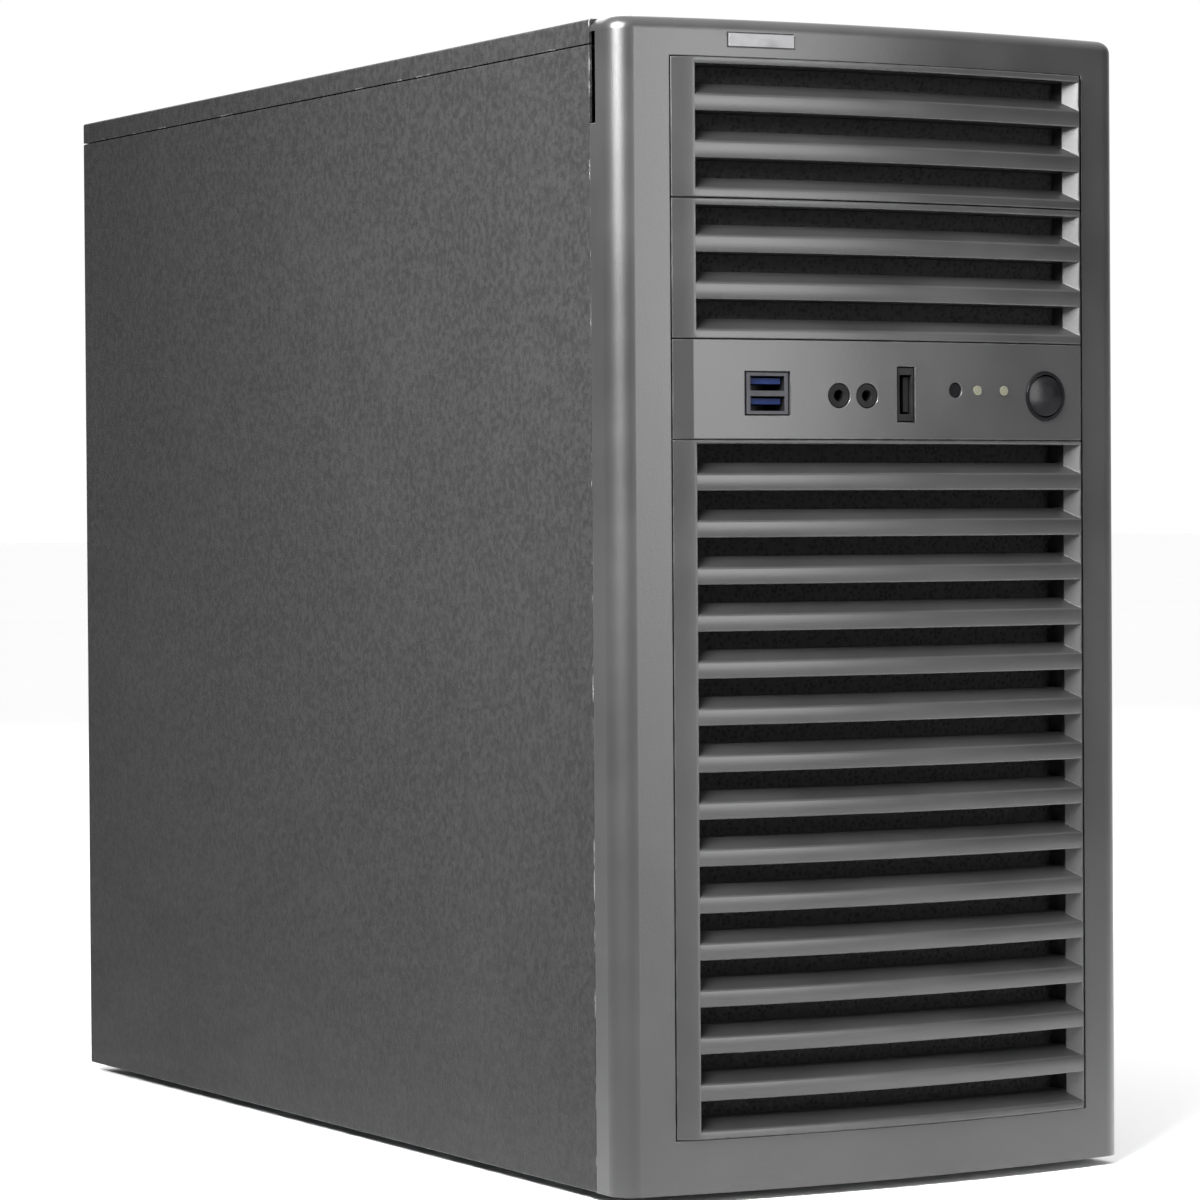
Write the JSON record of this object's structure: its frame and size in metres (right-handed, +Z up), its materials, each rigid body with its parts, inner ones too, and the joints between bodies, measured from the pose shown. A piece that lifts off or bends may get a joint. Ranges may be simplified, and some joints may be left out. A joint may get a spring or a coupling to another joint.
{
  "type": "desktop computer tower",
  "caption": "Mini-tower desktop computer with a bowed louvred front, front ports and buttons, slide-off side panel, rear fan and its complete inside.",
  "frame": {"origin": "centre of the footprint, on the floor under the feet", "axes": "+Z up; the louvred front faces -Y; +X is to the right of a person facing the front"},
  "size_m": [0.186, 0.432, 0.362],
  "materials": {
    "bezel_plastic": "fine spark texture, dark grey",
    "badge_metal": "brushed, blank",
    "filter_foam": "open black foam",
    "ring_plastic": "satin black",
    "lamp_lens": "clear lens",
    "side_paint": "fine textured powder coat",
    "galvanised_steel": "galvanised sheet",
    "circuit_board": "solder mask over woven glass",
    "port_steel": "bright nickel",
    "tongue_plastic": "moulded blue",
    "port_plastic": "moulded black",
    "fan_plastic": "moulded black",
    "guard_wire": "bright zinc wire",
    "heatsink_alloy": "extruded",
    "capacitor_sleeve": "bare can",
    "drive_casting": "cast alloy",
    "screw_steel": "zinc plated",
    "brass_posts": "turned",
    "foot_rubber": "moulded",
    "cable_sleeve": "braided sleeve"
  },
  "bodies": {
    "chassis": {"audio_jacks": "port_plastic", "base_pan": "galvanised_steel", "board_headers": "port_plastic", "board_standoffs": "brass_posts", "board_tray": "galvanised_steel", "capacitors": "capacitor_sleeve", "chassis_screws": "screw_steel", "chipset_heatsink": "heatsink_alloy", "cpu_fan_frame": "fan_plastic", "cpu_heatsink": "heatsink_alloy", "cpu_socket": "port_plastic", "drive_cage_35": "galvanised_steel", "drive_cage_525": "galvanised_steel", "drive_data_cable": "cable_sleeve", "drive_power_cable": "cable_sleeve", "expansion_sockets": "port_plastic", "front_panel_cable": "cable_sleeve", "front_port_board": "circuit_board", "front_port_posts": "brass_posts", "front_wall": "galvanised_steel", "hard_drive_lower": "drive_casting", "hard_drive_upper": "drive_casting", "io_shield": "galvanised_steel", "main_power_cable": "cable_sleeve", "memory_modules": "circuit_board", "memory_sockets": "port_plastic", "motherboard": "circuit_board", "psu_case": "galvanised_steel", "psu_fan_frame": "fan_plastic", "psu_fan_guard": "guard_wire", "psu_inlet": "port_plastic", "rear_fan_frame": "fan_plastic", "rear_fan_guard": "guard_wire", "rear_ports": "port_steel", "rear_wall": "galvanised_steel", "right_side_panel": "side_paint", "rubber_feet": "foot_rubber", "slot_covers": "galvanised_steel", "top_cover": "side_paint", "usb_front_shell": "port_steel", "usb_front_tongues": "tongue_plastic", "usb_front_upright": "port_plastic"},
    "bezel": {"front_bezel": "bezel_plastic", "bezel_grille": "bezel_plastic", "bay_cover_upper": "bezel_plastic", "bay_cover_lower": "bezel_plastic", "io_fascia": "bezel_plastic", "badge_plate": "badge_metal", "dust_filter": "filter_foam", "power_button_ring": "ring_plastic", "lamp_lenses": "lamp_lens"},
    "side_panel": {"left_side_panel": "side_paint"},
    "screw_upper": {"thumbscrew_upper": "screw_steel"},
    "screw_lower": {"thumbscrew_lower": "screw_steel"},
    "power_key": {"power_button": "ring_plastic"},
    "reset_key": {"reset_button": "ring_plastic"},
    "rear_fan": {"rear_fan_rotor": "fan_plastic"},
    "supply_fan": {"psu_fan_rotor": "fan_plastic"},
    "processor_fan": {"cpu_fan_rotor": "fan_plastic"},
    "supply_switch": {"psu_switch_rocker": "port_plastic"}
  },
  "joints": [
    {"name": "side_panel_slide", "type": "slide", "parent": "chassis", "child": "side_panel", "axis": [0, 1, 0], "range_m": [0, 0.4]},
    {"name": "thumbscrew_upper_turn", "type": "hinge", "parent": "side_panel", "child": "screw_upper", "pos_m": [-0.0795, 0.2, 0.33], "axis": [0, 1, 0], "continuous": true},
    {"name": "thumbscrew_lower_turn", "type": "hinge", "parent": "side_panel", "child": "screw_lower", "pos_m": [-0.0795, 0.2, 0.042], "axis": [0, 1, 0], "continuous": true},
    {"name": "bezel_pull", "type": "slide", "parent": "chassis", "child": "bezel", "axis": [0, -1, 0], "range_m": [0, 0.03]},
    {"name": "power_button_press", "type": "slide", "parent": "chassis", "child": "power_key", "axis": [0, 1, 0], "range_m": [0, 0.0025], "stiffness_N_per_m": 400},
    {"name": "reset_button_press", "type": "slide", "parent": "chassis", "child": "reset_key", "axis": [0, 1, 0], "range_m": [0, 0.0012], "stiffness_N_per_m": 500},
    {"name": "rear_fan_spin", "type": "hinge", "parent": "chassis", "child": "rear_fan", "pos_m": [-0.022, 0.19, 0.192], "axis": [0, 1, 0], "continuous": true},
    {"name": "supply_fan_spin", "type": "hinge", "parent": "chassis", "child": "supply_fan", "pos_m": [0.028, 0.195, 0.309], "axis": [0, 1, 0], "continuous": true},
    {"name": "processor_fan_spin", "type": "hinge", "parent": "chassis", "child": "processor_fan", "pos_m": [0.02, 0.122, 0.196], "axis": [1, 0, 0], "continuous": true},
    {"name": "supply_switch_rock", "type": "hinge", "parent": "chassis", "child": "supply_switch", "pos_m": [-0.044, 0.2032, 0.328], "axis": [1, 0, 0], "range_deg": [0, 14]}
  ]
}
